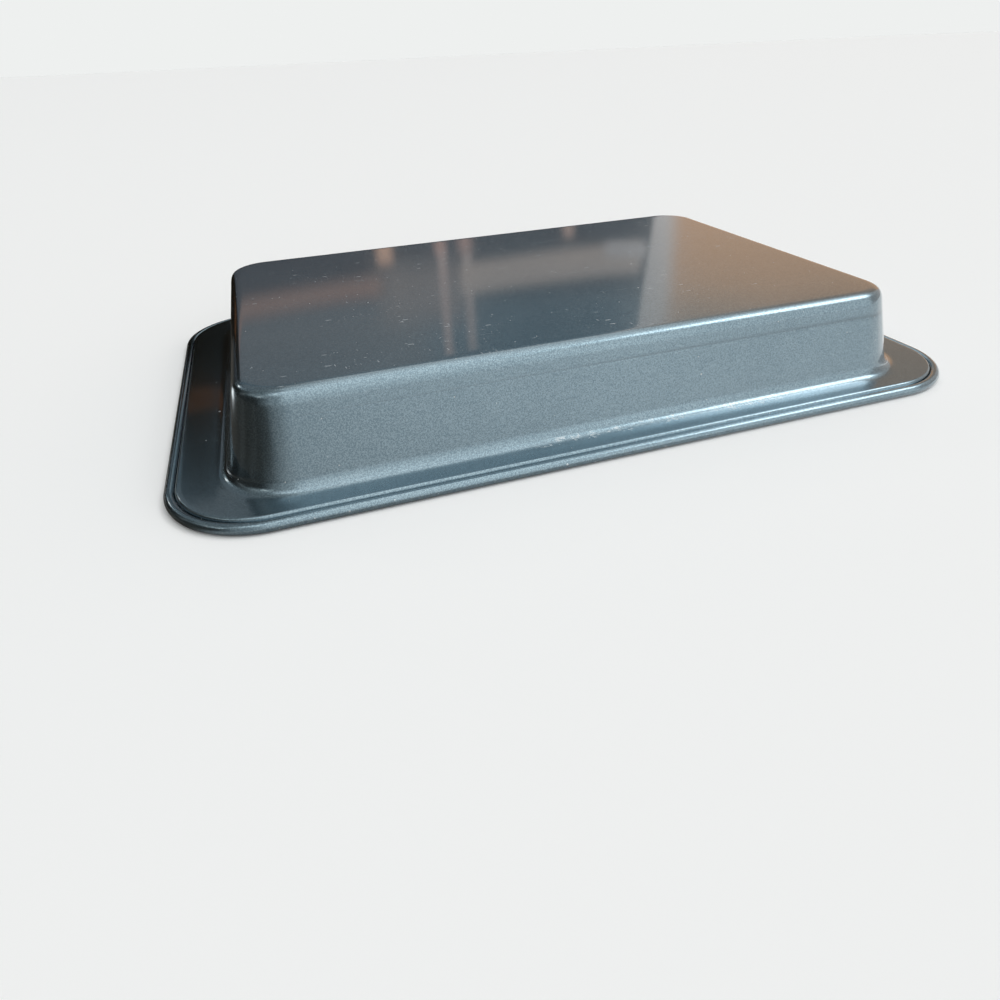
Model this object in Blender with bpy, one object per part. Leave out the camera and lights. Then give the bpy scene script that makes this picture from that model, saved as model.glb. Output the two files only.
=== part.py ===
"""A rectangular cake pan, upside down on its rim: one drawn steel sheet with its edge curled round a wire.

Metres. +Z is up and +X runs along the pan's long side. The origin lies on the table, under the pan's middle.
Outer means the side of the sheet that shows when the pan is upside down, and inner the side that holds the cake.
"""

import math
from collections import namedtuple

import bmesh
import bpy

# Whole pan
PAN_HEIGHT = 0.0460  # from the table to the outer face of the base
BASE_LENGTH = 0.3160  # of the outer base, out to where the faces of base and walls would meet
BASE_WIDTH = 0.2110
BASE_CORNER_RADIUS = 0.0205  # in plan, of that same outline
WALL_DRAFT = math.radians(11.3)  # how far the walls lean outwards on their way to the rim

# Sheet
SHEET_THICKNESS = 0.0007
BASE_EDGE_RADIUS = 0.0056  # outer face, base to wall
WALL_FOOT_RADIUS = 0.0056  # outer face, wall to flange

# Flange, from the foot of the walls to the middle of the rim wire
END_FLANGE_WIDTH = 0.0239  # at the two short ends, wide enough to hold
SIDE_FLANGE_WIDTH = 0.0151
FLANGE_RISE = 0.0006  # of the flange's outer face over the top of the rolled edge

# Rolled edge
WIRE_DIAMETER = 0.0027
WIRE_CLEARANCE = 0.0003  # all round the wire, inside the curl
RIM_CORNER_RADIUS = 0.0395  # in plan, of the wire's middle line
SHOULDER_RADIUS = 0.00125  # outer face, where the flange turns down to the curl
SHOULDER_SETBACK = 0.00115  # from the curl's inner side to the middle of the shoulder's arc
SEAM_GAP = 0.0004  # between the sheet's cut edge and the shoulder

# Smoothness
CORNER_STEPS = 8
BEND_STEPS = 6
SHOULDER_STEPS = 4
CURL_STEPS = 24
WIRE_SIDES = 12

# Sizes that follow
CURL_BORE_RADIUS = WIRE_DIAMETER / 2 + WIRE_CLEARANCE
CURL_RADIUS = CURL_BORE_RADIUS + SHEET_THICKNESS
FLANGE_HEIGHT = 2 * CURL_RADIUS + FLANGE_RISE  # from the table to the flange's outer face
WALL_SPREAD = (PAN_HEIGHT - FLANGE_HEIGHT) * math.tan(WALL_DRAFT)

QUARTER_TURN = math.pi / 2
# Sign of X, sign of Y and first angle of each corner, anticlockwise from above
CORNERS = ((1, 1, 0), (-1, 1, QUARTER_TURN), (-1, -1, 2 * QUARTER_TURN), (1, -1, 3 * QUARTER_TURN))

Outline = namedtuple("Outline", "half_length half_width corner_radius")
SectionPoint = namedtuple("SectionPoint", "outline offset height")
Finish = namedtuple("Finish", "name colour metallic roughness")

BASE_OUTLINE = Outline(BASE_LENGTH / 2, BASE_WIDTH / 2, BASE_CORNER_RADIUS)
WIRE_OUTLINE = Outline(
    BASE_LENGTH / 2 + WALL_SPREAD + END_FLANGE_WIDTH,
    BASE_WIDTH / 2 + WALL_SPREAD + SIDE_FLANGE_WIDTH,
    RIM_CORNER_RADIUS,
)

NON_STICK_COATING = Finish("non_stick_coating", (0.055, 0.066, 0.078), 0.55, 0.36)
BRIGHT_STEEL = Finish("bright_steel", (0.56, 0.57, 0.58), 1.0, 0.30)


def clear_scene():
    for obj in list(bpy.data.objects):
        bpy.data.objects.remove(obj)


def arc(outline, centre, radius, first, last, steps):
    """Section points on an arc. Angles run anticlockwise from straight outwards."""
    points = []
    for step in range(steps + 1):
        angle = first + (last - first) * step / steps
        offset = centre[0] + radius * math.cos(angle)
        height = centre[1] + radius * math.sin(angle)
        points.append(SectionPoint(outline, offset, height))
    return points


def sheet_section():
    """The sheet's section, from the outer base, down and round the curl, and back to the inner base."""
    to_wall = math.tan((QUARTER_TURN - WALL_DRAFT) / 2)
    edge_centre = (-BASE_EDGE_RADIUS * to_wall, PAN_HEIGHT - BASE_EDGE_RADIUS)
    foot_centre = (WALL_SPREAD + WALL_FOOT_RADIUS * to_wall, FLANGE_HEIGHT + WALL_FOOT_RADIUS)
    wall_side = WALL_DRAFT + 2 * QUARTER_TURN
    flange_side = 3 * QUARTER_TURN

    # The sheet leaves the shoulder's arc on the line that also touches the curl's bore.
    shoulder_centre = (-CURL_RADIUS - SHOULDER_SETBACK, FLANGE_HEIGHT - SHOULDER_RADIUS)
    curl_centre = (0.0, CURL_RADIUS)
    run = curl_centre[0] - shoulder_centre[0]
    drop = shoulder_centre[1] - curl_centre[1]
    fall = math.atan2(drop, run) + math.asin((SHOULDER_RADIUS + CURL_BORE_RADIUS) / math.hypot(run, drop))
    lean = QUARTER_TURN - fall
    curl_start = lean + 2 * QUARTER_TURN
    # The curl stops where its outer corner is one seam gap short of the shoulder.
    curl_end = lean + 4 * QUARTER_TURN + math.acos((SEAM_GAP - CURL_BORE_RADIUS) / CURL_RADIUS)

    inner_edge_radius = BASE_EDGE_RADIUS - SHEET_THICKNESS
    inner_foot_radius = WALL_FOOT_RADIUS + SHEET_THICKNESS
    inner_shoulder_radius = SHOULDER_RADIUS - SHEET_THICKNESS

    outer_face = (
        arc(BASE_OUTLINE, edge_centre, BASE_EDGE_RADIUS, QUARTER_TURN, WALL_DRAFT, BEND_STEPS)
        + arc(BASE_OUTLINE, foot_centre, WALL_FOOT_RADIUS, wall_side, flange_side, BEND_STEPS)
        + arc(WIRE_OUTLINE, shoulder_centre, SHOULDER_RADIUS, QUARTER_TURN, lean, SHOULDER_STEPS)
        + arc(WIRE_OUTLINE, curl_centre, CURL_BORE_RADIUS, curl_start, curl_end, CURL_STEPS)
    )
    inner_face = (
        arc(WIRE_OUTLINE, curl_centre, CURL_RADIUS, curl_end, curl_start, CURL_STEPS)
        + arc(WIRE_OUTLINE, shoulder_centre, inner_shoulder_radius, lean, QUARTER_TURN, SHOULDER_STEPS)
        + arc(BASE_OUTLINE, foot_centre, inner_foot_radius, flange_side, wall_side, BEND_STEPS)
        + arc(BASE_OUTLINE, edge_centre, inner_edge_radius, WALL_DRAFT, QUARTER_TURN, BEND_STEPS)
    )
    return outer_face + inner_face


def wire_section():
    """The wire's round section, about its own middle."""
    full_turn = 4 * QUARTER_TURN
    return arc(WIRE_OUTLINE, (0.0, 0.0), WIRE_DIAMETER / 2, 0.0, full_turn, WIRE_SIDES)[:-1]


def ring(bm, point):
    """The ring of vertices that one section point draws as it goes round the pan."""
    outline = point.outline
    reach = outline.corner_radius + point.offset
    vertices = []
    for sign_x, sign_y, first in CORNERS:
        centre_x = sign_x * (outline.half_length - outline.corner_radius)
        centre_y = sign_y * (outline.half_width - outline.corner_radius)
        for step in range(CORNER_STEPS + 1):
            angle = first + QUARTER_TURN * step / CORNER_STEPS
            place = (centre_x + reach * math.cos(angle), centre_y + reach * math.sin(angle), point.height)
            vertices.append(bm.verts.new(place))
    return vertices


def join_rings(bm, ring_a, ring_b):
    count = len(ring_a)
    for index in range(count):
        after = (index + 1) % count
        bm.faces.new((ring_a[index], ring_a[after], ring_b[after], ring_b[index]))


def swept_mesh(name, section, closed):
    """A solid swept round the pan: its section closes on itself, or the first and last rings are filled."""
    bm = bmesh.new()
    rings = [ring(bm, point) for point in section]
    for ring_a, ring_b in zip(rings, rings[1:]):
        join_rings(bm, ring_a, ring_b)
    if closed:
        join_rings(bm, rings[-1], rings[0])
    else:
        bm.faces.new(rings[0])
        bm.faces.new(rings[-1])
    bmesh.ops.recalc_face_normals(bm, faces=bm.faces)
    mesh = bpy.data.meshes.new(name)
    bm.to_mesh(mesh)
    bm.free()
    mesh.shade_smooth()
    mesh.set_sharp_from_angle(angle=math.radians(30))
    return mesh


def principled(finish):
    material = bpy.data.materials.new(finish.name)
    material.use_nodes = True
    shader = material.node_tree.nodes["Principled BSDF"]
    shader.inputs["Base Color"].default_value = (*finish.colour, 1.0)
    shader.inputs["Metallic"].default_value = finish.metallic
    shader.inputs["Roughness"].default_value = finish.roughness
    return material


def add_piece(name, mesh, finish, parent, height=0.0):
    mesh.materials.append(principled(finish))
    piece = bpy.data.objects.new(name, mesh)
    piece.parent = parent
    piece.location.z = height
    bpy.context.collection.objects.link(piece)
    return piece


def build_pan():
    pan = bpy.data.objects.new("pan", None)
    bpy.context.collection.objects.link(pan)
    sheet = swept_mesh("pan_body", sheet_section(), closed=False)
    add_piece("pan_body", sheet, NON_STICK_COATING, pan)
    wire = swept_mesh("rim_wire", wire_section(), closed=True)
    add_piece("rim_wire", wire, BRIGHT_STEEL, pan, height=CURL_RADIUS)


clear_scene()
build_pan()
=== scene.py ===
"""The looks of a rectangular cake pan that lies upside down on its rim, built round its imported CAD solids.

Metres, in the part's own frame: +Z is up, +X runs along the pan's long side, and the origin lies on the
table under its middle. Outer means the side of the sheet that shows in this pose, and inner the side that
holds the cake.
"""

import logging
import math
from dataclasses import dataclass, field
from enum import Enum
from typing import Any, Optional, Union

import bpy
import numpy as np
from mathutils import Matrix, Vector


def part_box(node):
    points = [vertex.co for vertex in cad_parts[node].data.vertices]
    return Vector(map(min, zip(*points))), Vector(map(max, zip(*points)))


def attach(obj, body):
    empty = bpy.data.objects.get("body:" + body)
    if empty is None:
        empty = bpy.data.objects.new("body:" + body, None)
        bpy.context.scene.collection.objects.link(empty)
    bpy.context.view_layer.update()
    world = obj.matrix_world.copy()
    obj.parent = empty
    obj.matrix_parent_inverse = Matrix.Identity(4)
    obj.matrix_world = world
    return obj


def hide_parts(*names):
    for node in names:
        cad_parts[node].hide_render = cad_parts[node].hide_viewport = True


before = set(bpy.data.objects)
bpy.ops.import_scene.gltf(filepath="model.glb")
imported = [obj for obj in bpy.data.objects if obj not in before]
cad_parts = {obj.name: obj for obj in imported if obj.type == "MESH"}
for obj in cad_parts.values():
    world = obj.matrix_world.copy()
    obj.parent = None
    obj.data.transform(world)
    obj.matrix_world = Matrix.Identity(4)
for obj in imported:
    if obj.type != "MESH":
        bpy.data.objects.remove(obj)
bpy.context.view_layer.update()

LOG = logging.getLogger("cake_pan")
MM = 0.001
QUARTER_TURN = math.pi / 2
HALF_TURN_DEGREES = 180.0
SHARP_ANGLE = math.radians(40)  # faces that meet at more than this are not shaded as one
NOISE_MIDDLE = 0.5
BLACK = (0.0, 0.0, 0.0)

Colour = tuple[float, float, float]
Triple = tuple[float, float, float]
Term = Union["Signal", float, tuple]


class Slot(Enum):
    """The material slots of the record that the pieces take their finishes from."""

    COATING = "non_stick_coating"
    WIRE = "bright_steel"


class Side(Enum):
    """The two faces of the sheet."""

    OUTER = "outer"
    INNER = "inner"


# Shader maths


class Signal:
    """A node's output that takes part in ordinary sums. Each sum adds its Math node to the tree."""

    def __init__(self, nodes: "NodeSet", socket: bpy.types.NodeSocket) -> None:
        """Keeps the tree and the socket."""
        self.nodes = nodes
        self.socket = socket

    def _sum(self, operation: str, first: Term, second: Term) -> "Signal":
        """A Math node on two terms."""
        return self.nodes.make("ShaderNodeMath", {"operation": operation}, {0: first, 1: second})

    def __add__(self, other: Term) -> "Signal":
        """This plus other."""
        return self._sum("ADD", self, other)

    def __radd__(self, other: Term) -> "Signal":
        """Other plus this."""
        return self._sum("ADD", other, self)

    def __sub__(self, other: Term) -> "Signal":
        """This minus other."""
        return self._sum("SUBTRACT", self, other)

    def __rsub__(self, other: Term) -> "Signal":
        """Other minus this."""
        return self._sum("SUBTRACT", other, self)

    def __mul__(self, other: Term) -> "Signal":
        """This times other."""
        return self._sum("MULTIPLY", self, other)

    def __rmul__(self, other: Term) -> "Signal":
        """Other times this."""
        return self._sum("MULTIPLY", other, self)

    def __pow__(self, other: Term) -> "Signal":
        """This to the power of other."""
        return self._sum("POWER", self, other)

    def __abs__(self) -> "Signal":
        """This without its sign."""
        return self._sum("ABSOLUTE", self, 0.0)

    def highest(self, other: Term) -> "Signal":
        """The higher of this and other."""
        return self._sum("MAXIMUM", self, other)

    def wrapped(self, half: float) -> "Signal":
        """This brought into the range from -half to half by whole turns of twice half."""
        return self.nodes.make("ShaderNodeMath", {"operation": "WRAP"}, {0: self, 1: half, 2: -half})

    def step(self, low: float, high: float) -> "Signal":
        """A smooth rise from 0 at low to 1 at high, or a fall where low is the greater.

        Args:
            low: where it is 0.
            high: where it is 1.

        Returns:
            The smooth step.
        """
        ends = {1: low, 2: high, 3: 0.0, 4: 1.0}
        if low > high:
            ends = {1: high, 2: low, 3: 1.0, 4: 0.0}
        return self.nodes.make("ShaderNodeMapRange", {"interpolation_type": "SMOOTHSTEP"}, {0: self, **ends})


class NodeSet:
    """The nodes of one material or world."""

    def __init__(self, tree: bpy.types.NodeTree) -> None:
        """Empties the tree."""
        tree.nodes.clear()
        self.tree = tree

    def make(
        self,
        kind: str,
        settings: Optional[dict[str, Any]] = None,
        inputs: Optional[dict[Union[str, int], Term]] = None,
        output: Union[str, int] = 0,
    ) -> Signal:
        """Adds a node.

        Args:
            kind: the node's type.
            settings: its settings, which are set first.
            inputs: a value or a signal for each input, by its name or number.
            output: the name or number of the output that the signal carries.

        Returns:
            The output, ready for sums. Its node is at .socket.node.
        """
        node = self.tree.nodes.new(kind)
        for name, setting in (settings or {}).items():
            setattr(node, name, setting)
        for name, value in (inputs or {}).items():
            if isinstance(value, Signal):
                self.tree.links.new(value.socket, node.inputs[name])
            else:
                node.inputs[name].default_value = value
        return Signal(self, node.outputs[output] if len(node.outputs) else None)

    def mix(self, share: Term, first: Term, second: Term) -> Signal:
        """Mixes two colours.

        Args:
            share: how much of the second shows.
            first: a colour or a signal.
            second: a colour or a signal.

        Returns:
            The mixed colour.
        """
        inputs = {0: share, 6: opaque(first), 7: opaque(second)}
        return self.make("ShaderNodeMix", {"data_type": "RGBA"}, inputs, output=2)

    def place(self, scale: Triple = (1.0, 1.0, 1.0), turn: float = 0.0) -> Signal:
        """Object coordinates, turned about Z and then stretched.

        Args:
            scale: what each axis is multiplied by.
            turn: in radians, how far the pattern is turned.

        Returns:
            The coordinates.
        """
        coordinates = self.make("ShaderNodeTexCoord", output="Object")
        turned = self.make("ShaderNodeMapping", {}, {"Vector": coordinates, "Rotation": (0.0, 0.0, turn)})
        return self.make("ShaderNodeMapping", {}, {"Vector": turned, "Scale": scale})

    def parts(self, vector: Signal) -> tuple[Signal, Signal, Signal]:
        """The X, Y and Z of a vector."""
        apart = self.make("ShaderNodeSeparateXYZ", {}, {0: vector}).socket.node
        return tuple(Signal(self, output) for output in apart.outputs)

    def azimuth(self, x: Signal, y: Signal) -> Signal:
        """The azimuth of a direction in plan, in degrees from +Y towards +X."""
        return self.make("ShaderNodeMath", {"operation": "ARCTAN2"}, {0: x, 1: y}) * math.degrees(1.0)

    def noise(
        self, size: float, detail: float = 2.0, roughness: float = 0.5, where: Optional[Signal] = None
    ) -> Signal:
        """Cloudy noise from 0 to 1, about its middle at 0.5.

        Args:
            size: of its largest clouds, in metres.
            detail: how many finer layers it has.
            roughness: how strong the finer layers are.
            where: its coordinates, or None for the plain ones.

        Returns:
            The noise.
        """
        inputs = {
            "Vector": where or self.place(),
            "Scale": 1.0 / size,
            "Detail": detail,
            "Roughness": roughness,
        }
        return self.make("ShaderNodeTexNoise", {}, inputs)

    def measured(self, name: str) -> Signal:
        """One of the piece's own measures, by its name."""
        return self.make("ShaderNodeAttribute", {"attribute_name": name}, {}, "Fac")

    def finish(self, inputs: dict[str, Term]) -> None:
        """Ends a material with its shader, which has these inputs."""
        shader = self.make("ShaderNodeBsdfPrincipled", {}, inputs)
        self.make("ShaderNodeOutputMaterial", {}, {"Surface": shader})


def opaque(colour: Term) -> Term:
    """A plain colour with its alpha, or a signal as it is."""
    return (*colour, 1.0) if isinstance(colour, tuple) and len(colour) == 3 else colour


# Finishes


def new_material(name: str) -> tuple[bpy.types.Material, NodeSet]:
    """Makes a material.

    Args:
        name: of the material.

    Returns:
        The material and its nodes, of which there are none yet.
    """
    material = bpy.data.materials.new(name)
    material.use_nodes = True
    return material, NodeSet(material.node_tree)


@dataclass(frozen=True)
class Patches:
    """Cloudy noise that is cut off: patches as it is, and fine lines where it is stretched far."""

    size: float
    low: float
    high: float
    detail: float = 2.0
    roughness: float = 0.5
    stretch: Triple = (1.0, 1.0, 1.0)
    turn: float = 0.0

    def shown(self, nodes: NodeSet) -> Signal:
        """0 where the noise is under low and 1 where it is over high."""
        where = nodes.place(self.stretch, self.turn)
        return nodes.noise(self.size, self.detail, self.roughness, where).step(self.low, self.high)


@dataclass(frozen=True)
class Dots:
    """Scattered soft dots: in a share of the cells of a Voronoi pattern, what lies near the cell's point.

    Where the pattern is stretched, they are strokes, and spacing and radius are in its own units. Flat ones
    are laid out in plan and run straight up.
    """

    spacing: float
    radius: float
    share: float
    strength: float = 1.0
    stretch: Triple = (1.0, 1.0, 1.0)
    turn: float = 0.0
    flat: bool = False
    softness: float = 0.3

    def shown(self, nodes: NodeSet) -> Signal:
        """Scatters the dots.

        Args:
            nodes: the material's nodes.

        Returns:
            The strength in the dots and 0 between them.
        """
        inputs = {"Vector": nodes.place(self.stretch, self.turn), "Scale": 1.0 / self.spacing}
        settings = {"voronoi_dimensions": "2D" if self.flat else "3D"}
        near = nodes.make("ShaderNodeTexVoronoi", settings, inputs, "Distance")
        colour = Signal(nodes, near.socket.node.outputs["Color"])
        chance = nodes.make("ShaderNodeSeparateColor", {}, {0: colour})
        reach = self.radius / self.spacing
        size = chance.step(1.0 - self.share, 1.0) * reach
        return (size - near).step(0.0, self.softness * reach) * self.strength


@dataclass(frozen=True)
class Wear:
    """How much one kind of mark shows in the tone, the metal, the gloss, the clear top and the bump."""

    tone: float
    metal: float = 0.0
    gloss: float = 0.0
    top: float = 0.0
    height: float = 0.0


@dataclass(frozen=True)
class NonStickCoating:
    """The dark coating: a satin metallic layer with a fine grain under a smooth clear top.

    The top mirrors the room at a slant. Cloudy tone, hairlines, nicks, dust and scuffs lie over both, and
    painted shade darkens the draw line.
    """

    tone: Colour = (0.245, 0.335, 0.385)
    dark_tone: Colour = (0.135, 0.205, 0.250)
    draw_line_shade_tone: Colour = (0.075, 0.105, 0.125)
    bare_tone: Colour = (0.62, 0.66, 0.68)
    dust_tone: Colour = (0.60, 0.61, 0.60)
    roughness: float = 0.24
    top_roughness: float = 0.045
    top_ior: float = 1.6

    # Grain, cloudy tone and the painted shade along the draw line's groove
    grain_size: float = 0.60 * MM
    grain_contrast: float = 4.8
    grain_depth: float = 0.012 * MM
    cloud_size: float = 45 * MM
    cloud_contrast: float = 0.6
    cloud_gloss: float = 0.06
    draw_line_shade_share: float = 0.45

    # Hairlines
    lines_along: Patches = Patches(1.0, 0.62, 0.76, stretch=(14.0, 1500.0, 1500.0), turn=math.radians(2.5))
    lines_across: Patches = Patches(1.0, 0.64, 0.78, stretch=(1400.0, 18.0, 900.0), turn=math.radians(-4.0))
    line_strengths: tuple[float, float] = (0.6, 0.35)
    line_wear: Wear = Wear(tone=0.12, gloss=0.05, top=0.3, height=-0.3)

    # Nicks: strokes and points in some patches, and specks in others
    strokes_along: Dots = Dots(1.0, 0.10, 0.40, 1.0, (55.0, 260.0, 1.0), math.radians(6.0), flat=True)
    strokes_across: Dots = Dots(1.0, 0.09, 0.42, 0.8, (300.0, 60.0, 1.0), math.radians(-10.0), flat=True)
    points: Dots = Dots(3.0 * MM, 0.34 * MM, 0.45, 0.8, flat=True)
    nicked: Patches = Patches(38 * MM, 0.44, 0.58)
    specks: Dots = Dots(1.5 * MM, 0.26 * MM, 0.55, 0.5, flat=True)
    speckled: Patches = Patches(70 * MM, 0.36, 0.60)
    nick_wear: Wear = Wear(tone=0.8, metal=0.6, top=0.7, height=-0.6)

    # Dust
    fine_dust: Dots = Dots(3.6 * MM, 0.32 * MM, 0.35)
    coarse_dust: Dots = Dots(9.0 * MM, 0.55 * MM, 0.30)
    dust_wear: Wear = Wear(tone=0.8, metal=0.8, gloss=0.3, top=1.0, height=1.5)

    # The scuffed strip: a soft box, and the smears inside it
    scuffed_from: Triple = (-34 * MM, -117.5 * MM, 4.6 * MM)
    scuffed_to: Triple = (86 * MM, -114 * MM, 6.4 * MM)
    scuff_softness: Triple = (8 * MM, 1.5 * MM, 0.9 * MM)
    smears: Patches = Patches(5 * MM, 0.48, 0.58)
    smear_grain: Patches = Patches(1.0, 0.46, 0.62, 3.0, 0.7, (420.0, 1100.0, 1100.0), math.radians(24.0))
    scuff_wear: Wear = Wear(tone=0.7, metal=0.5, gloss=0.10, top=0.6)

    # Spots rubbed bright on the edges
    rubbed_spots: Dots = Dots(2.6 * MM, 0.55 * MM, 0.5)
    rub_tone: float = 0.8

    def build(self) -> bpy.types.Material:
        """Makes the material.

        Returns:
            The material, under the name of its slot.
        """
        material, nodes = new_material(Slot.COATING.value)
        grain = nodes.noise(self.grain_size, detail=2.0, roughness=0.65)
        cloud = nodes.noise(self.cloud_size, detail=3.0, roughness=0.55) - NOISE_MIDDLE
        lines, line = self._hairlines(nodes), self.line_wear
        nicks, nick = self._nicks(nodes), self.nick_wear
        dust, speck = self._dust(nodes), self.dust_wear
        scuff, smear = self._scuff(nodes), self.scuff_wear
        rubbed = self.rubbed_spots.shown(nodes) * nodes.measured(PanSheet.EXPOSED) * self.rub_tone

        light = (grain - NOISE_MIDDLE) * self.grain_contrast + NOISE_MIDDLE + cloud * self.cloud_contrast
        tone = nodes.mix(light, self.dark_tone, self.tone)
        # Painted shade: the draw line's groove is darkened towards its shade tone
        tone = nodes.mix(nodes.measured(PanSheet.DRAWN) * self.draw_line_shade_share, tone, self.draw_line_shade_tone)
        tone = nodes.mix(lines * line.tone, tone, self.bare_tone)
        bare = (nicks * nick.tone).highest(rubbed).highest(scuff * smear.tone)
        tone = nodes.mix(bare, tone, self.bare_tone)
        tone = nodes.mix(dust * speck.tone, tone, self.dust_tone)

        gloss = cloud * self.cloud_gloss + self.roughness
        gloss = gloss + scuff * smear.gloss + dust * speck.gloss + lines * line.gloss
        height = grain + nicks * nick.height + lines * line.height + dust * speck.height
        bump = {"Strength": 1.0, "Distance": self.grain_depth, "Height": height}
        dulled = (dust * speck.metal).highest(nicks * nick.metal).highest(scuff * smear.metal)
        worn = (dust * speck.top).highest(nicks * nick.top).highest(scuff * smear.top)
        worn = worn.highest(lines * line.top)
        nodes.finish(
            {
                "Base Color": tone,
                "Metallic": 1.0 - dulled,
                "Roughness": gloss,
                "Normal": nodes.make("ShaderNodeBump", {}, bump),
                "Coat Weight": 1.0 - worn,
                "Coat Roughness": self.top_roughness,
                "Coat IOR": self.top_ior,
            }
        )
        return material

    def _hairlines(self, nodes: NodeSet) -> Signal:
        """Long faint lines that wiping leaves where the sheet lies level, most of them along X.

        Args:
            nodes: the material's nodes.

        Returns:
            How strong they are, from 0 to 1.
        """
        along, across = self.line_strengths
        lines = (self.lines_along.shown(nodes) * along).highest(self.lines_across.shown(nodes) * across)
        return lines * nodes.measured(PanSheet.LEVEL)

    def _nicks(self, nodes: NodeSet) -> Signal:
        """Short light strokes along X and along Y, points and specks, in patches where the sheet lies level.

        Args:
            nodes: the material's nodes.

        Returns:
            How strong they are, from 0 to 1.
        """
        strokes = self.strokes_along.shown(nodes).highest(self.strokes_across.shown(nodes))
        marks = strokes.highest(self.points.shown(nodes)) * self.nicked.shown(nodes)
        specks = self.specks.shown(nodes) * self.speckled.shown(nodes)
        return marks.highest(specks) * nodes.measured(PanSheet.LEVEL)

    def _dust(self, nodes: NodeSet) -> Signal:
        """Sparse pale specks, fine and coarse."""
        return self.fine_dust.shown(nodes).highest(self.coarse_dust.shown(nodes))

    def _scuff(self, nodes: NodeSet) -> Signal:
        """Whitish smears outside, at the foot of the front wall's right half: broken noise inside a soft box.

        Args:
            nodes: the material's nodes.

        Returns:
            How strong they are, from 0 to 1.
        """
        mask = nodes.measured(PanSheet.OUTSIDE)
        places = nodes.parts(nodes.place())
        for value, least, most, soft in zip(places, self.scuffed_from, self.scuffed_to, self.scuff_softness):
            mask = mask * value.step(least - soft, least) * value.step(most + soft, most)
        return mask * self.smears.shown(nodes) * self.smear_grain.shown(nodes)


@dataclass(frozen=True)
class BrightSteel:
    """Drawn steel wire, bright, with fine streaks and dull blotches."""

    tone: Colour = (0.56, 0.57, 0.58)
    dull_tone: Colour = (0.40, 0.41, 0.42)
    roughness: float = 0.30
    streak_size: float = 0.7 * MM
    streak_contrast: float = 2.0
    streak_depth: float = 0.008 * MM
    blotch_size: float = 14 * MM
    blotch_gloss: float = 0.2

    def build(self) -> bpy.types.Material:
        """Makes the material.

        Returns:
            The material, under the name of its slot.
        """
        material, nodes = new_material(Slot.WIRE.value)
        streaks = nodes.noise(self.streak_size, detail=3.0, roughness=0.6)
        blotches = nodes.noise(self.blotch_size, detail=2.0, roughness=0.5)
        light = (streaks - NOISE_MIDDLE) * self.streak_contrast + blotches
        bump = {"Strength": 1.0, "Distance": self.streak_depth, "Height": streaks}
        nodes.finish(
            {
                "Base Color": nodes.mix(light, self.dull_tone, self.tone),
                "Metallic": 1.0,
                "Roughness": (blotches - NOISE_MIDDLE) * self.blotch_gloss + self.roughness,
                "Normal": nodes.make("ShaderNodeBump", {}, bump),
            }
        )
        return material


@dataclass(frozen=True)
class FloorGap:
    """A gap in the painted flag, where the mirrored floor keeps its pale tone: its azimuth, its reach and its
    strength.
    """

    azimuth: float
    half_width: float
    softness: float
    begins: float
    full: float
    strength: float


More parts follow.
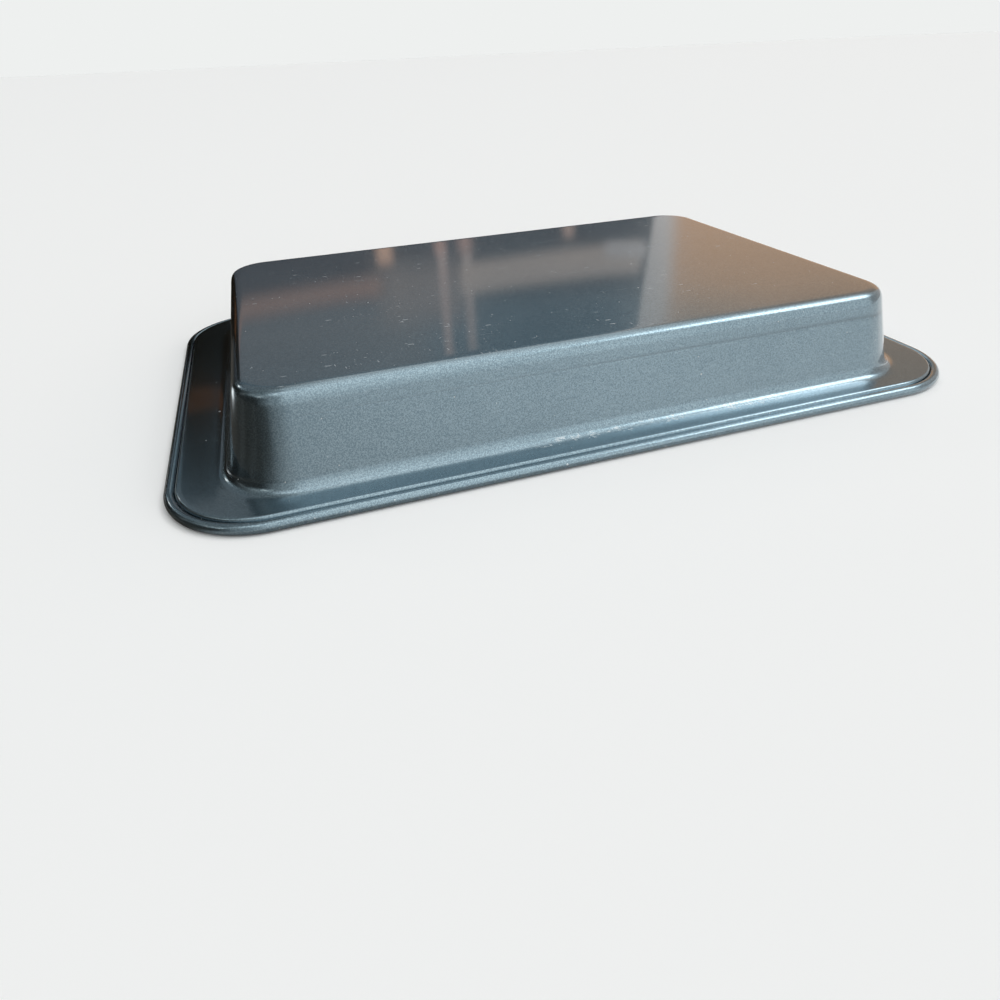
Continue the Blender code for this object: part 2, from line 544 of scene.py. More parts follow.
@dataclass(frozen=True)
class PaleFloor:
    """The plain pale floor. What the coating mirrors of it carries painted shade, dark to the left as if
    under a black flag, and painted light in a glow.
    """

    rim: "Outline"
    tone: Colour = (0.94, 0.93, 0.93)
    mirrored_shade_tone: Colour = (0.072, 0.064, 0.055)

    # The painted flag, dark shade painted into the mirrored floor, by azimuth in degrees, and the gaps in it
    flag_corner: tuple[float, float] = (-160 * MM, -95 * MM)
    flag_azimuth: float = -68.0
    flag_half_width: float = 95.0
    flag_softness: float = 38.0
    gaps: tuple[FloorGap, ...] = (
        FloorGap(-39.0, 6.0, 3.5, 110 * MM, 210 * MM, 1.0),
        FloorGap(-77.0, 3.0, 3.0, 0 * MM, 40 * MM, 0.05),
        FloorGap(-107.0, 3.0, 3.0, 0 * MM, 40 * MM, 0.05),
    )

    # Painted shade in the mirrored floor that deepens towards -X, and the one close to the rim, which is
    # deepest at the left
    shade_from: float = 80 * MM
    shade_to: float = -400 * MM
    shade_depth: float = 0.6
    edge_reach: float = 35 * MM
    edge_depths: tuple[float, float] = (0.70, 0.20)

    # Painted light in the mirrored floor: a glow in the first gap, and a faint painted sheen on all that
    # isn't dark
    glow: Colour = (1.0, 1.0, 0.98)
    glow_strength: float = 1.7
    sheen: float = 0.03
    roughness: float = 0.9
    specular: float = 0.1

    def build(self) -> bpy.types.Material:
        """Makes the material.

        Returns:
            The material.
        """
        material, nodes = new_material("pale_floor")
        x, y, _ = nodes.parts(nodes.place())
        flag, lit = self._painted_flag(nodes, x, y)
        mirrored_shade = flag.highest(x.step(self.shade_from, self.shade_to) * self.shade_depth)
        left, right = self.edge_depths
        depth = x.step(-self.rim.half_length, self.rim.half_length) * (right - left) + left
        mirrored_shade = mirrored_shade.highest(self._beside_rim(x, y).step(self.edge_reach, 0.0) * depth)
        # Painted shade and painted light that only mirrored rays see
        mirrored = nodes.make("ShaderNodeLightPath", output="Is Glossy Ray")
        glowing = lit.highest((1.0 - mirrored_shade) * self.sheen) * mirrored
        nodes.finish(
            {
                "Base Color": nodes.mix(mirrored_shade * mirrored, self.tone, self.mirrored_shade_tone),
                "Roughness": self.roughness,
                "Specular IOR Level": self.specular,
                "Emission Color": nodes.mix(glowing, BLACK, self.glow),
                "Emission Strength": self.glow_strength,
            }
        )
        return material

    def _painted_flag(self, nodes: NodeSet, x: Signal, y: Signal) -> tuple[Signal, Signal]:
        """Painted shade for the mirrored floor: 1 on the pan's left and 0 in front of it and behind it, by
        azimuth about its left front corner.

        Narrow gaps let the pale floor show a little way off, and in the first it glows with painted light.

        Args:
            nodes: the floor's nodes.
            x: the place on the floor along X.
            y: the place along Y.

        Returns:
            How dark the painted shade makes the floor, and how much painted light it glows with.
        """
        beyond_x, beyond_y = x - self.flag_corner[0], y - self.flag_corner[1]
        azimuth = nodes.azimuth(beyond_x, beyond_y)
        distance = (beyond_x * beyond_x + beyond_y * beyond_y) ** 0.5
        away = abs((azimuth - self.flag_azimuth).wrapped(HALF_TURN_DEGREES))
        wide, soft = self.flag_half_width, self.flag_softness
        flag = away.step(wide + soft, wide - soft)
        lit = None
        for gap in self.gaps:
            aside = abs((azimuth - gap.azimuth).wrapped(HALF_TURN_DEGREES))
            narrow = aside.step(gap.half_width + gap.softness, gap.half_width - gap.softness)
            opened = narrow * distance.step(gap.begins, gap.full)
            flag = flag * (1.0 - opened * gap.strength)
            lit = opened if lit is None else lit
        return flag, lit

    def _beside_rim(self, x: Signal, y: Signal) -> Signal:
        """How far a place on the floor is from the rim: the distance to a rounded rectangle.

        Args:
            x: the place on the floor along X.
            y: the place along Y.

        Returns:
            The distance, under 0 inside the rim.
        """
        radius = self.rim.corner_radius
        beyond_x = (abs(x) - (self.rim.half_length - radius)).highest(0.0)
        beyond_y = (abs(y) - (self.rim.half_width - radius)).highest(0.0)
        return (beyond_x * beyond_x + beyond_y * beyond_y) ** 0.5 - radius


# Shapes


@dataclass(frozen=True)
class Outline:
    """A rounded rectangle in plan, about the origin."""

    half_length: float
    half_width: float
    corner_radius: float

    def columns(self) -> np.ndarray:
        """The three sizes as an array."""
        return np.array([self.half_length, self.half_width, self.corner_radius])


class PlanPath:
    """The closed way round the pan, anticlockwise from above, in steps.

    Each step has a middle, from -1 to 1 along X and Y, that says at or between which corners' centres its own
    centre lies, and a facing, the direction in plan that the pan's side faces there. In a corner the facing
    turns and the middle stands still. On a straight run the middle moves and the facing stands still.
    """

    def __init__(self, corner_steps: int, long_steps: int, short_steps: int) -> None:
        """Works out the steps.

        Args:
            corner_steps: in each corner.
            long_steps: on each long side.
            short_steps: on each short side.
        """
        signs = np.array([(1, 1), (-1, 1), (-1, -1), (1, -1)], float)
        middles, turns, shares = [], [], []
        for corner, here in enumerate(signs):
            after = signs[(corner + 1) % 4]
            share = np.linspace(0.0, 1.0, corner_steps + 1)
            middles.append(np.repeat(here[None], corner_steps + 1, axis=0))
            turns.append((corner + share) * QUARTER_TURN)
            shares.append(share)
            run = np.linspace(0.0, 1.0, (long_steps, short_steps)[corner % 2] + 1)[1:-1]
            middles.append(here + run[:, None] * (after - here))
            turns.append(np.full(len(run), (corner + 1) * QUARTER_TURN))
            shares.append(np.zeros(len(run)))
        turn = np.concatenate(turns)
        self.middle = np.concatenate(middles)
        self.facing = np.stack([np.cos(turn), np.sin(turn)], axis=-1)
        self.corner_share = np.concatenate(shares)
        self.turn = turn

    def sweep(self, section: np.ndarray, inner: Outline, outer: Outline) -> np.ndarray:
        """Carries a section round the path.

        A point of the section has a blend between the two outlines, an offset outwards, a height and a scale.
        It draws the rounded rectangle whose corners' centres lie at middle times (half size - corner radius),
        and whose side stands corner radius + offset away from them, along the facing. The scale shrinks it in
        plan.

        Args:
            section: one row of (blend, offset, height, scale) for each point.
            inner: the outline at blend 0.
            outer: the outline at blend 1.

        Returns:
            A grid of places, with the section along its first axis and the path along its second.
        """
        blend, offset, height, scale = section.T
        sizes = inner.columns() + blend[:, None] * (outer.columns() - inner.columns())
        half, radius = sizes[:, :2], sizes[:, 2]
        centre = self.middle[None] * (half - radius[:, None])[:, None]
        plan = centre + self.facing[None] * (radius + offset)[:, None, None]
        plan = plan * scale[:, None, None]
        level = np.broadcast_to(height[:, None, None], (*plan.shape[:2], 1))
        return np.concatenate([plan, level], axis=-1)


def grid_faces(rows: int, columns: int, round_rows: bool) -> np.ndarray:
    """The quads of a grid whose columns close on themselves: each joins two neighbours and the next two.

    Args:
        rows: how many rows of points it has.
        columns: how many columns.
        round_rows: whether the last row joins the first too.

    Returns:
        Four indices for each quad.
    """
    index = np.arange(rows * columns).reshape(rows, columns)
    below = np.roll(index, -1, axis=0) if round_rows else index[1:]
    here = index if round_rows else index[:-1]
    quads = np.stack([here, np.roll(here, -1, axis=1), np.roll(below, -1, axis=1), below], axis=-1)
    return quads.reshape(-1, 4)


def pole_faces(pole: int, ring: np.ndarray) -> np.ndarray:
    """Triangles from one point to each pair of neighbours on a closed ring.

    Args:
        pole: the point's index.
        ring: the ring's indices, in order.

    Returns:
        Three indices for each triangle.
    """
    after = np.roll(ring, -1)
    return np.stack([np.full(len(ring), pole), ring, after], axis=-1)


def add_mesh(
    name: str, points: np.ndarray, faces: list[list[int]], finish: bpy.types.Material
) -> bpy.types.Object:
    """Makes a smooth-shaded mesh object at the origin.

    Args:
        name: of the object and its mesh.
        points: one row for each vertex.
        faces: the vertex indices of each face, turning anticlockwise as seen from outside.
        finish: its material.

    Returns:
        The object, linked to the scene.
    """
    mesh = bpy.data.meshes.new(name)
    mesh.from_pydata(points.tolist(), [], faces)
    mesh.shade_smooth()
    mesh.set_sharp_from_angle(angle=SHARP_ANGLE)
    mesh.materials.append(finish)
    piece = bpy.data.objects.new(name, mesh)
    bpy.context.scene.collection.objects.link(piece)
    return piece


def add_measure(piece: bpy.types.Object, name: str, values: np.ndarray) -> None:
    """Stores one number for each vertex under a name that a material reads."""
    attribute = piece.data.attributes.new(name, "FLOAT", "POINT")
    attribute.data.foreach_set("value", values.astype(np.float32).ravel())


@dataclass
class PanSheet:
    """The drawn steel sheet: base, walls, flange, shoulder and the edge that is curled round the wire."""

    EXPOSED = "exposed"
    DRAWN = "drawn"
    LEVEL = "level"
    OUTSIDE = "outside"
    RIM_CORNER_RADIUS = 39.5 * MM

    height: float
    wire_outline: Outline
    base_outline: Outline = Outline(158.0 * MM, 105.5 * MM, 20.5 * MM)
    draft: float = math.radians(11.3)
    thickness: float = 0.7 * MM
    bend_radius: float = 4.6 * MM
    bend_ease: float = 0.8
    flange_rise: float = 0.6 * MM
    bore_radius: float = 1.65 * MM
    shoulder_radius: float = 1.25 * MM
    shoulder_setback: float = 1.15 * MM
    seam_gap: float = 0.4 * MM

    # Steps between the points of the section
    base_steps: int = 18
    bend_steps: int = 22
    wall_steps: int = 16
    line_steps: int = 16
    flange_steps: int = 8
    shoulder_steps: int = 10
    curl_steps: int = 44

    # The draw line, a groove with painted shade in it: its width and its strength are a level at the middle
    # of the pan and a gain towards +X
    draw_line_height: float = 35.3 * MM
    draw_line_depth: float = 0.06 * MM
    draw_line_reach: float = 2.4 * MM
    draw_line_clear: float = 1.2
    draw_line_widths: tuple[float, float] = (0.30 * MM, 1.15 * MM)
    draw_line_widening: tuple[float, float] = (0.38, 0.72)
    draw_line_strength: tuple[float, float] = (0.62, 0.40)
    draw_line_waver: float = 0.10
    draw_line_wave: float = 55.0

    pleats_per_corner: int = 6
    pleat_depth: float = 0.045 * MM
    pleat_drift: float = 2.3
    wall_fade: float = 0.8
    side_bow: float = 0.20 * MM
    base_dish: float = 0.15 * MM

    # Wear: what counts as level, how far out the curl is rubbed, and the rubbed strip under the base's edge
    level_play: float = 0.05 * MM
    flange_wear: float = 0.3
    rubbed_from: float = 0.8
    rubbed_over: float = 0.4
    edge_wear: float = 0.35
    edge_wear_drop: float = 0.6 * MM
    edge_wear_reach: float = 0.8 * MM

    path: PlanPath = field(default_factory=lambda: PlanPath(corner_steps=48, long_steps=30, short_steps=20))

    @classmethod
    def curl_radius(cls) -> float:
        """The outer radius of the rolled edge."""
        return cls.bore_radius + cls.thickness

    @classmethod
    def from_frame(cls) -> "PanSheet":
        """The sheet that fills the CAD node's box.

        Returns:
            The sheet, whose rolled edge reaches the box's sides and whose base reaches its top.
        """
        _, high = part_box("pan_body")
        curl = cls.curl_radius()
        return cls(high.z, Outline(high.x - curl, high.y - curl, cls.RIM_CORNER_RADIUS))

    @property
    def flange_height(self) -> float:
        """From the table to the flange's outer face."""
        return 2 * self.curl_radius() + self.flange_rise

    @property
    def wall_spread(self) -> float:
        """How far the walls lean out from the base's height to the flange's."""
        return (self.height - self.flange_height) * math.tan(self.draft)

    @staticmethod
    def _arc(blend: float, centre: tuple, radius: float, first: float, last: float, steps: int) -> np.ndarray:
        """Section points on an arc: centre plus radius times the cosine and sine of evenly spaced angles.

        Args:
            blend: the outline that it follows, 0 for the base's and 1 for the wire's.
            centre: its offset and height.
            radius: of the arc.
            first: angle of its first point, anticlockwise from straight outwards.
            last: angle of its last point.
            steps: between them.

        Returns:
            One row of (blend, offset, height, scale) for each point.
        """
        angle = np.linspace(first, last, steps + 1)
        offset = centre[0] + radius * np.cos(angle)
        height = centre[1] + radius * np.sin(angle)
        return np.stack([np.full_like(angle, blend), offset, height, np.ones_like(angle)], axis=-1)

    def _bend(self, corner: tuple[float, float], first: float, last: float, shift: float) -> np.ndarray:
        """Section points of an eased bend between two straight runs, tightest at its middle.

        Its heading turns from first to last by share - ease * sin(2 pi share) / 2 pi of the way. Its points
        are the running sum of the heading's cosine and sine, moved so that both runs, drawn on, meet at the
        corner.

        Args:
            corner: the offset and height at which the outer face's runs would meet.
            first: heading of the run before it, anticlockwise from straight outwards.
            last: heading of the run after it.
            shift: how far under the outer face the points lie.

        Returns:
            One row of (blend, offset, height, scale) for each point.
        """
        steps, turn = self.bend_steps, last - first
        share = np.arange(2 * steps + 1) / (2 * steps)
        heading = first + turn * (share - self.bend_ease * np.sin(2 * math.pi * share) / (2 * math.pi))
        run = abs(turn) * self.bend_radius * (1.0 + self.bend_ease) / steps
        moves = np.stack([np.cos(heading[1::2]), np.sin(heading[1::2])], axis=-1) * run
        points = np.concatenate([np.zeros((1, 2)), np.cumsum(moves, axis=0)])
        tangent = np.hypot(*points[-1]) / (2.0 * math.cos(turn / 2))
        points += np.array(corner) - tangent * np.array([math.cos(first), math.sin(first)])
        points -= shift * np.stack([-np.sin(heading[::2]), np.cos(heading[::2])], axis=-1)
        return np.stack([np.zeros(steps + 1), points[:, 0], points[:, 1], np.ones(steps + 1)], axis=-1)

    @staticmethod
    def _run(first: np.ndarray, last: np.ndarray, shares: np.ndarray) -> np.ndarray:
        """Section points on the straight run between two others, at these shares of the way."""
        return first + shares[:, None] * (last - first)

    def _face(self, side: Side) -> np.ndarray:
        """The section of one face of the sheet, from the middle of the base to its cut edge.

        Args:
            side: which face.

        Returns:
            One row of (blend, offset, height, scale) for each point.
        """
        shift = 0.0 if side is Side.OUTER else self.thickness
        curl = self.curl_radius()
        shoulder_centre = (-curl - self.shoulder_setback, self.flange_height - self.shoulder_radius)
        run, drop = -shoulder_centre[0], shoulder_centre[1] - curl
        reach = self.shoulder_radius + self.bore_radius
        fall = math.atan2(drop, run) + math.asin(reach / math.hypot(run, drop))
        lean = QUARTER_TURN - fall
        curl_end = lean + 4 * QUARTER_TURN + math.acos((self.seam_gap - self.bore_radius) / curl)

        wall_heading = self.draft - QUARTER_TURN
        edge = self._bend((0.0, self.height), 0.0, wall_heading, shift)
        foot = self._bend((self.wall_spread, self.flange_height), wall_heading, 0.0, shift)
        radius = self.shoulder_radius - shift
        shoulder = self._arc(1.0, shoulder_centre, radius, QUARTER_TURN, lean, self.shoulder_steps)
        radius, curl_start = self.bore_radius + shift, lean + 2 * QUARTER_TURN
        curl_arc = self._arc(1.0, (0.0, curl), radius, curl_start, curl_end, self.curl_steps)

        base_middle = edge[0] * (1.0, 1.0, 1.0, 0.0)
        base = self._run(base_middle, edge[0], self._between(self.base_steps))
        wall = self._run(edge[-1], foot[0], self._wall_shares(edge[-1][2], foot[0][2]))
        flange = self._run(foot[-1], shoulder[0], self._between(self.flange_steps))
        descent = self._run(shoulder[-1], curl_arc[0], self._between(2))
        return np.concatenate([base, edge, wall, foot, flange, shoulder, descent, curl_arc])

    @staticmethod
    def _between(steps: int) -> np.ndarray:
        """The shares of the way between the even steps of a run, without its ends."""
        return np.linspace(0.0, 1.0, steps + 1)[1:-1]

    def _wall_shares(self, top: float, bottom: float) -> np.ndarray:
        """Where the wall has its points: evenly, and closely round the draw line.

        Args:
            top: height at which the wall begins.
            bottom: height at which it ends.

        Returns:
            The shares of the way down, in order.
        """
        even = self._between(self.wall_steps)
        line = (top - self.draw_line_height) / (top - bottom)
        reach = self.draw_line_reach / (top - bottom)
        near = line + np.linspace(-1.0, 1.0, self.line_steps + 1) * reach
        apart = even[np.abs(even - line) > self.draw_line_clear * reach]
        return np.sort(np.concatenate([apart, near]))

    def _shape(self, grid: np.ndarray, section: np.ndarray) -> np.ndarray:
        """Adds what drawing the sheet in a press leaves on it.

        The corners' walls get shallow pleats, a sine of the share of the way round the corner, which die out
        at the base and at the foot. The long walls bow inwards by the square of a cosine of x. The base
        dishes by a product of two parabolas. The draw line is a bell-shaped groove at one height, deepest at
        the right and faint at the left.

        Args:
            grid: places, with the section along the first axis.
            section: the section that they were swept from.

        Returns:
            The changed places.
        """
        x, y, z = np.moveaxis(grid, -1, 0)
        on_base_side = (section[:, 0] == 0.0)[:, None]
        wall_share = np.clip((self.height - z) / (self.height - self.flange_height), 0.0, 1.0)
        on_wall = on_base_side * np.sin(math.pi * wall_share) ** self.wall_fade

        round_corner = np.sin(math.pi * self.path.corner_share) ** 2
        waves = 2 * math.pi * self.pleats_per_corner * self.path.corner_share
        pleats = np.sin(waves + self.path.turn * self.pleat_drift)
        outwards = self.pleat_depth * on_wall * (round_corner * pleats)[None]

        middle_x, facing_y = self.path.middle[:, 0], self.path.facing[:, 1]
        on_long_side = np.isclose(np.abs(facing_y), 1.0) & (np.abs(middle_x) < 1.0)
        bow = np.cos(QUARTER_TURN * middle_x) ** 2
        outwards = outwards - self.side_bow * on_wall * (on_long_side * bow)[None]

        outwards = outwards - self.draw_line_depth * self._drawn(grid, section).reshape(x.shape)

        across = np.clip(1.0 - (x / self.base_outline.half_length) ** 2, 0.0, 1.0)
        deep = np.clip(1.0 - (y / self.base_outline.half_width) ** 2, 0.0, 1.0)
        flat = (section[:, 3] < 1.0)[:, None]
        down = self.base_dish * flat * across * deep

        moved = grid.copy()
        moved[..., :2] += outwards[..., None] * self.path.facing[None]
        moved[..., 2] -= down
        return moved

    def build(self, finish: bpy.types.Material) -> bpy.types.Object:
        """Builds the sheet as one closed mesh: two swept faces that meet at the cut edge and at two poles.

        Args:
            finish: its material.

        Returns:
            The finished piece.
        """
        outer, inner = self._face(Side.OUTER), self._face(Side.INNER)[::-1]
        section = np.concatenate([outer, inner])
        grid = self.path.sweep(section, self.base_outline, self.wire_outline)
        grid = self._shape(grid, section)
        rows, columns = grid.shape[:2]

        poles = np.array([grid[0].mean(axis=0), grid[-1].mean(axis=0)])
        poles[:, :2] = 0.0
        points = np.concatenate([grid.reshape(-1, 3), poles])
        first_pole = rows * columns
        quads = grid_faces(rows, columns, round_rows=False)[:, ::-1]
        top = pole_faces(first_pole, np.arange(columns))
        bottom = pole_faces(first_pole + 1, np.arange(columns) + (rows - 1) * columns)[:, ::-1]
        piece = add_mesh("pan_sheet", points, quads.tolist() + top.tolist() + bottom.tolist(), finish)

        outside = np.repeat(np.arange(rows) < len(outer), columns)
        measures = (
            (self.EXPOSED, self._exposure(section, columns), (0.0, 0.0)),
            # the draw line's strength, which the coating turns into painted shade
            (self.DRAWN, self._drawn(grid, section), (0.0, 0.0)),
            (self.LEVEL, self._level(section, columns), (1.0, 1.0)),
            (self.OUTSIDE, outside, (1.0, 0.0)),
        )
        for name, values, at_poles in measures:
            add_measure(piece, name, np.append(values, at_poles))
        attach(piece, "root")
        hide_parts("pan_body")
        return piece

    def _drawn(self, grid: np.ndarray, section: np.ndarray) -> np.ndarray:
        """How strongly the draw line shows, as groove depth and as painted shade: a bell over the height,
        fading and narrowing from right to left.

        Args:
            grid: places, with the section along the first axis.
            section: the section that they were swept from.

        Returns:
            One number from 0 to 1 for each point of the swept grid.
        """
        x, z = grid[..., 0], grid[..., 2]
        along = x / self.base_outline.half_length
        narrow, wide = self.draw_line_widths
        level, gain = self.draw_line_widening
        width = narrow + (wide - narrow) * np.clip(level + gain * along, 0.0, 1.0)
        bell = np.exp(-(((z - self.draw_line_height) / width) ** 2))
        level, gain = self.draw_line_strength
        waver = self.draw_line_waver * np.sin(self.draw_line_wave * x)
        strength = np.clip(level + gain * along + waver, 0.0, 1.0)
        return ((section[:, 0] == 0.0)[:, None] * bell * strength).ravel()

    def _level(self, section: np.ndarray, columns: int) -> np.ndarray:
        """How much a level outer face gets scratched: 1 on the base, little on the flange and 0 elsewhere.

        Args:
            section: the sheet's section.
            columns: how many steps the path has.

        Returns:
            One number from 0 to 1 for each point of the swept grid.
        """
        height = section[:, 2]
        base = np.abs(height - self.height) < self.level_play
        flange = np.abs(height - self.flange_height) < self.level_play
        return np.repeat(base + self.flange_wear * flange, columns)

    def _exposure(self, section: np.ndarray, columns: int) -> np.ndarray:
        """How far each point stands out to be rubbed: 1 outside the rolled edge, and less on the base's edge.

        Args:
            section: the sheet's section.
            columns: how many steps the path has.

        Returns:
            One number from 0 to 1 for each point of the swept grid.
        """
        blend, offset, height, _ = section.T
        out = (offset / self.bore_radius - self.rubbed_from) / self.rubbed_over
        rolled = (blend == 1.0) * np.clip(out, 0.0, 1.0)
        under = (height - self.height + self.edge_wear_drop) / self.edge_wear_reach
        base_edge = (blend == 0.0) * (offset > -self.bend_radius) * np.exp(-(under**2)) * self.edge_wear
        return np.repeat(np.maximum(rolled, base_edge), columns)


@dataclass
class RimWire:
    """The closed steel wire inside the rolled edge."""

    outline: Outline
    height: float
    radius: float = 1.35 * MM
    sides: int = 20

    def build(self, finish: bpy.types.Material) -> bpy.types.Object:
        """Carries a circle round the rim: radius times cosine outwards and radius times sine upwards.

        Args:
            finish: its material.

        Returns:
            The finished piece.
        """
        path = PlanPath(corner_steps=32, long_steps=6, short_steps=4)
        angle = np.linspace(0.0, 2 * math.pi, self.sides, endpoint=False)
        ones = np.ones_like(angle)
        offset = self.radius * np.cos(angle)
        section = np.stack([ones, offset, self.height + self.radius * np.sin(angle), ones], axis=-1)
        grid = path.sweep(section, self.outline, self.outline)
        faces = grid_faces(*grid.shape[:2], round_rows=True)
        piece = add_mesh("rim_wire_drawn", grid.reshape(-1, 3), faces[:, ::-1].tolist(), finish)
        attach(piece, "root")
        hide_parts("rim_wire")
        return piece


# Studio


@dataclass(frozen=True)
class SoftPanel:
    """A soft-edged patch of light far off. Azimuth runs from +Y towards +X, elevation up from the horizon.

    Its rise is how much its middle climbs for each degree of azimuth, and its lean how far its middle moves
    in azimuth for each degree of elevation.
    """

    azimuth: float
    elevation: float
    half_width: float
    half_height: float
    softness: float
    colour: Colour
    rise: float = 0.0
    lean: float = 0.0


@dataclass(frozen=True)
class BlackCard:
    """An upright card behind the pan's left end, which only mirrored rays see.

    It is black with a faint brown patch. Its sides lean to the left, by so much for each unit of height.
    """

    NAME = "black_card"
    UNSEEN_BY = ("camera", "diffuse", "shadow", "transmission", "volume_scatter")

    y: float = 150 * MM
    left: float = -216.0 * MM
    left_lean: float = 0.10
    right: float = -158.8 * MM
    right_lean: float = 0.30
    top: float = 155 * MM
    side_softness: float = 3 * MM
    top_softness: float = 10 * MM
    tone: Colour = (0.012, 0.008, 0.004)
    patch_tone: Colour = (0.13, 0.050, 0.016)
    patch_middle: tuple[float, float] = (-200 * MM, 71 * MM)
    patch_size: tuple[float, float] = (13 * MM, 9 * MM)
    patch_softness: float = 5 * MM

    def build(self) -> None:
        """Stands the card on the floor, facing the front."""
        top = self.top + self.top_softness
        left = self.left - self.side_softness - top * self.left_lean
        right = self.right + self.side_softness
        corners = ((left, 0.0), (right, 0.0), (right, top), (left, top))
        points = np.array([(x, self.y, z) for x, z in corners])
        card = add_mesh(self.NAME, points, [[0, 1, 2, 3]], self._finish())
        for rays in self.UNSEEN_BY:
            setattr(card, "visible_" + rays, False)

    def _finish(self) -> bpy.types.Material:
        """Makes its material: soft edges by alpha, and the patch by tone.

        Returns:
            The material.
        """
        material, nodes = new_material(self.NAME)
        x, _, z = nodes.parts(nodes.place())
        side, high = self.side_softness, self.top_softness
        shown = (x + z * self.left_lean).step(self.left - side, self.left + side)
        shown = shown * (x + z * self.right_lean).step(self.right + side, self.right - side)
        shown = shown * z.step(self.top + high, self.top - high)
        patch = None
        for value, middle, size in zip((x, z), self.patch_middle, self.patch_size):
            near = abs(value - middle).step(size + self.patch_softness, size - self.patch_softness)
            patch = near if patch is None else patch * near
        tone = nodes.mix(patch, self.tone, self.patch_tone)
        nodes.finish({"Base Color": tone, "Roughness": 1.0, "Specular IOR Level": 0.0, "Alpha": shown})
        return material


@dataclass(frozen=True)
class Studio:
    """A pale floor, a dim room with soft panels round it, and the camera."""

    rim: Outline
    room: Colour = (0.085, 0.090, 0.088)
    backdrop: Colour = (0.856, 0.872, 0.864)
    floor_size: float = 40.0
    floor_drop: float = 0.02 * MM
    panels: tuple[SoftPanel, ...] = (
        # The light side of the room, in front and overhead
        SoftPanel(160.0, 10.0, 46.0, 50.0, 14.0, (1.06, 1.09, 1.09)),
        SoftPanel(178.0, 50.0, 28.0, 30.0, 12.0, (1.34, 1.37, 1.36)),
        SoftPanel(155.0, 4.0, 4.0, 20.0, 5.0, (1.42, 1.48, 1.48)),
        SoftPanel(-150.0, 30.0, 18.0, 55.0, 18.0, (0.52, 0.54, 0.54)),
        SoftPanel(43.0, 52.0, 43.0, 22.0, 6.0, (0.90, 0.94, 0.95)),
        SoftPanel(80.0, 15.0, 40.0, 24.0, 8.0, (0.55, 0.52, 0.50)),
        SoftPanel(0.0, 90.0, 180.0, 33.0, 14.0, (1.46, 1.49, 1.48)),
        # The dim side, at the left, with one small lamp
        SoftPanel(-42.0, 74.0, 44.0, 12.0, 10.0, (0.56, 0.58, 0.58)),
        SoftPanel(-60.0, 58.0, 46.0, 13.0, 10.0, (0.25, 0.27, 0.27)),
        SoftPanel(-108.0, 43.0, 32.0, 9.0, 6.0, (0.50, 0.51, 0.50)),
        SoftPanel(-110.0, 39.5, 5.0, 3.5, 2.5, (1.9, 1.9, 1.8)),
        SoftPanel(-26.0, 36.0, 22.0, 10.0, 4.0, (0.235, 0.26, 0.275)),
        # Strips that light up the bends
        SoftPanel(130.0, 56.0, 20.0, 4.0, 4.0, (1.7, 1.8, 1.8)),
        SoftPanel(74.0, 49.0, 12.0, 5.0, 4.0, (2.0, 2.1, 2.1)),
        SoftPanel(103.0, 50.0, 19.0, 10.0, 5.0, (4.6, 4.7, 4.7)),
        # Black at the left, and the dark wall behind, which the base mirrors
        SoftPanel(-88.0, 8.0, 32.0, 20.0, 5.0, (0.050, 0.048, 0.044)),
        SoftPanel(5.0, 12.0, 32.0, 16.0, 0.6, (0.065, 0.072, 0.085)),
        SoftPanel(5.0, 22.8, 32.0, 5.3, 1.5, (0.115, 0.175, 0.215)),
        SoftPanel(-7.0, 21.0, 19.0, 3.5, 2.0, (0.22, 0.238, 0.253)),
        SoftPanel(11.6, 17.2, 3.4, 2.1, 1.5, (0.315, 0.285, 0.275)),
        SoftPanel(-4.0, 17.0, 12.2, 0.7, 0.8, (0.45, 0.295, 0.24), rise=-0.05),
        SoftPanel(-40.0, 12.0, 20.0, 17.5, 5.0, (0.020, 0.018, 0.015)),
        # Spots, streaks and bands of light on that wall
        SoftPanel(8.7, 13.4, 0.6, 1.5, 0.5, (0.85, 0.55, 0.40)),
        SoftPanel(13.2, 18.0, 0.35, 4.0, 0.35, (0.56, 0.46, 0.43)),
        SoftPanel(13.1, 13.6, 0.4, 0.9, 0.5, (0.62, 0.40, 0.34)),
        SoftPanel(15.2, 18.0, 0.35, 3.6, 0.35, (0.50, 0.44, 0.42)),
        SoftPanel(15.1, 13.6, 0.5, 0.9, 0.6, (0.56, 0.38, 0.33)),
        SoftPanel(21.8, 15.7, 7.2, 1.1, 0.6, (0.58, 0.50, 0.45), rise=-0.1),
        SoftPanel(27.8, 14.5, 1.6, 0.5, 0.5, (0.62, 0.60, 0.60)),
        SoftPanel(23.3, 12.6, 0.4, 1.0, 0.5, (0.62, 0.45, 0.38)),
        SoftPanel(31.5, 15.0, 2.0, 13.0, 0.3, (0.66, 0.64, 0.63), lean=-0.12),
        # The warm side of the room, behind at the right
        SoftPanel(46.2, 12.0, 14.8, 16.0, 0.8, (0.66, 0.42, 0.27)),
        SoftPanel(46.2, 24.2, 14.8, 6.0, 2.0, (0.39, 0.36, 0.33)),
        SoftPanel(52.0, 25.0, 11.0, 7.5, 2.6, (0.36, 0.29, 0.24)),
        # Two small lights at the left for the corner's edges
        SoftPanel(-32.0, 26.5, 4.0, 2.2, 1.5, (4.2, 4.2, 4.1)),
        SoftPanel(-70.0, 26.0, 5.0, 9.0, 4.0, (0.24, 0.24, 0.23)),
    )

    def build(self) -> None:
        """Makes the floor, the light and the camera."""
        self._floor()
        BlackCard().build()
        self._light()
        PhotoCamera().build()
        bpy.context.scene.view_settings.view_transform = "Standard"

    def _floor(self) -> None:
        """Lays the floor just under the rim."""
        half = self.floor_size / 2
        corners = ((-half, -half), (half, -half), (half, half), (-half, half))
        points = np.array([(x, y, -self.floor_drop) for x, y in corners])
        finish = PaleFloor(self.rim).build()
        add_mesh("floor", points, [[0, 1, 2, 3]], finish)

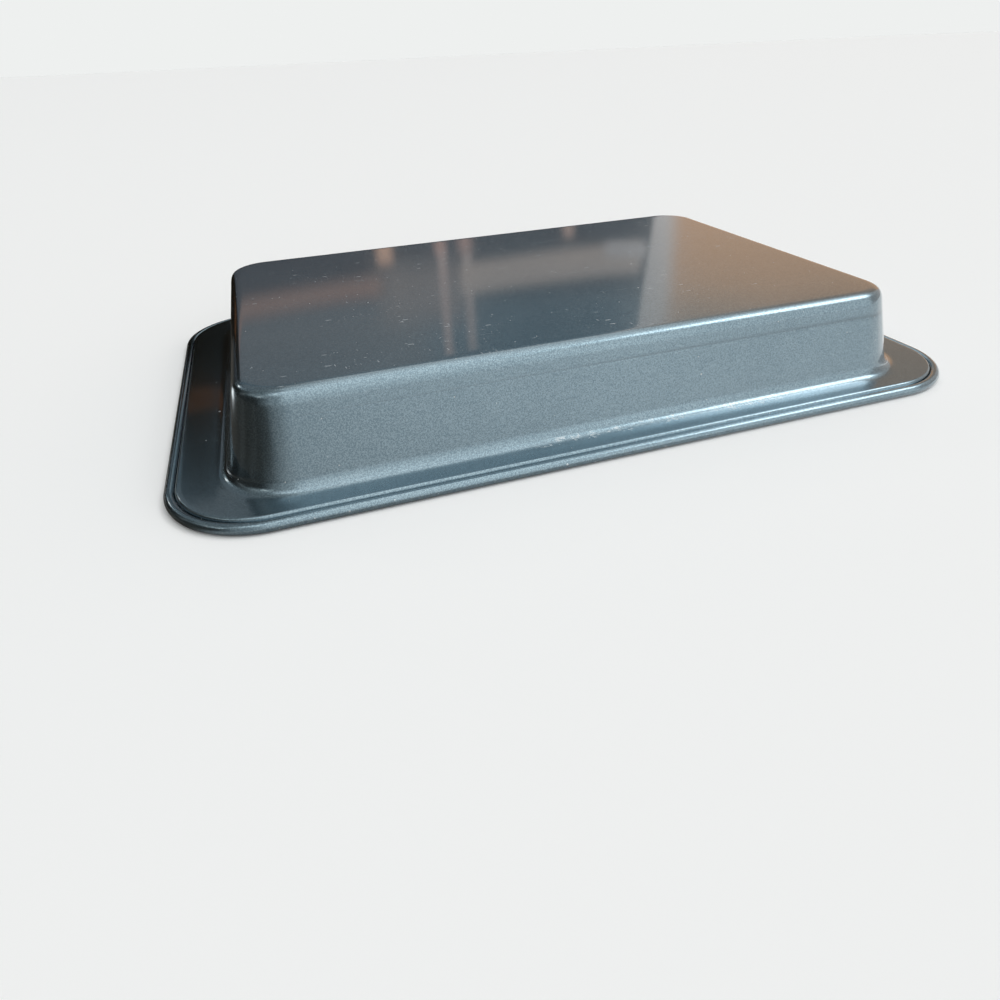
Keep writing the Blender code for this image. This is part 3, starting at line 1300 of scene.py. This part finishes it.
    def _light(self) -> None:
        """Lights the scene from all round: the room's own dim light plus each panel's, by direction."""
        world = bpy.data.worlds.new("studio")
        bpy.context.scene.world = world
        world.use_nodes = True
        nodes = NodeSet(world.node_tree)
        x, y, z = nodes.parts(nodes.make("ShaderNodeTexCoord", output="Generated"))
        elevation = nodes.make("ShaderNodeMath", {"operation": "ARCSINE"}, {0: z}) * math.degrees(1.0)
        azimuth = nodes.azimuth(x, y)
        light = None
        for panel in self.panels:
            mask = self._mask(panel, azimuth, elevation)
            light = nodes.mix(mask, self.room if light is None else light, panel.colour)
        seen = nodes.make("ShaderNodeLightPath", output="Is Camera Ray")
        shown = nodes.mix(seen, light, self.backdrop)
        background = nodes.make("ShaderNodeBackground", {}, {"Color": shown})
        nodes.make("ShaderNodeOutputWorld", {}, {"Surface": background})

    @staticmethod
    def _mask(panel: SoftPanel, azimuth: Signal, elevation: Signal) -> Signal:
        """How much a panel covers a direction.

        Args:
            panel: the panel.
            azimuth: the direction's azimuth in degrees.
            elevation: its elevation in degrees.

        Returns:
            1 inside the panel, falling smoothly to 0 across its soft edge.
        """
        soft = panel.softness
        aside = azimuth - panel.azimuth
        if panel.lean:
            aside = aside - (elevation - panel.elevation) * panel.lean
        wide = abs(aside.wrapped(HALF_TURN_DEGREES)).step(panel.half_width + soft, panel.half_width - soft)
        middle = (azimuth - panel.azimuth) * panel.rise + panel.elevation if panel.rise else panel.elevation
        high = abs(elevation - middle).step(panel.half_height + soft, panel.half_height - soft)
        return wide * high


@dataclass(frozen=True)
class PhotoCamera:
    """The camera at the photograph's viewing angle, solved from the pan's edges."""

    place: Triple = (-134.66 * MM, -371.98 * MM, 161.16 * MM)
    heading: float = math.radians(17.3085)
    dip: float = math.radians(25.9191)
    roll: float = math.radians(-2.5772)
    lens: float = 26.0965
    sensor: float = 36.0
    shift_up: float = -0.1
    nearest: float = 10 * MM

    def build(self) -> None:
        """Makes the camera and hands it to the scene."""
        sine, cosine = math.sin(self.heading), math.cos(self.heading)
        forward, down = math.cos(self.dip), math.sin(self.dip)
        ahead = Vector((sine * forward, cosine * forward, -down))
        level = Vector((cosine, -sine, 0.0))
        upright = level.cross(ahead)
        right = level * math.cos(self.roll) + upright * math.sin(self.roll)
        up = upright * math.cos(self.roll) - level * math.sin(self.roll)
        data = bpy.data.cameras.new("photo_camera")
        data.sensor_width = self.sensor
        data.lens = self.lens
        data.shift_y = self.shift_up
        data.clip_start = self.nearest
        camera = bpy.data.objects.new("photo_camera", data)
        turn = Matrix((right, up, -ahead)).transposed()
        camera.matrix_world = Matrix.Translation(Vector(self.place)) @ turn.to_4x4()
        bpy.context.scene.collection.objects.link(camera)
        bpy.context.scene.camera = camera


def main() -> None:
    """Builds the pieces in order, and then the studio round them."""
    logging.basicConfig(level=logging.INFO, format="%(name)s: %(message)s")
    sheet = PanSheet.from_frame()
    wire = RimWire(sheet.wire_outline, sheet.curl_radius())
    pieces = [sheet.build(NonStickCoating().build()), wire.build(BrightSteel().build())]
    for piece in pieces:
        LOG.info("%s: %d vertices, %d faces", piece.name, len(piece.data.vertices), len(piece.data.polygons))
    Studio(sheet.wire_outline).build()


if __name__ == "__main__":
    main()
